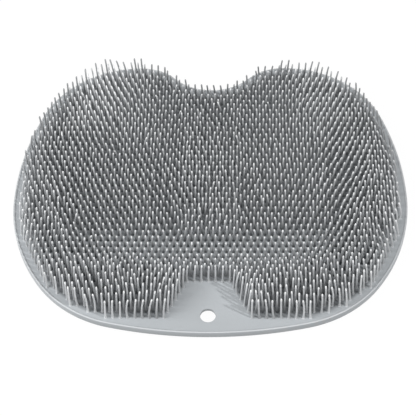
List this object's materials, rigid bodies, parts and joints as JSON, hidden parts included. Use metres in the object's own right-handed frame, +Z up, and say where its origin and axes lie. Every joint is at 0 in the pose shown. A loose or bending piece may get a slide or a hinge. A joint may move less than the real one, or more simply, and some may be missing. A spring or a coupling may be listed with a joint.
{
  "type": "shower foot scrubber",
  "caption": "Two-lobed silicone mat with a bed of upright bristles, a bare bay with a hanging hole at the front, a raised lip round its edge and suction cups below.",
  "frame": {"origin": "on the floor under the middle of the mat's width and depth", "axes": "+X to the right across the two lobes, +Y from the hanging hole at the front to the notch at the back, +Z up"},
  "size_m": [0.2996, 0.2566, 0.0362],
  "materials": {
    "silicone": "satin"
  },
  "bodies": {
    "root": {"scrubber_mat": "silicone"}
  },
  "joints": []
}
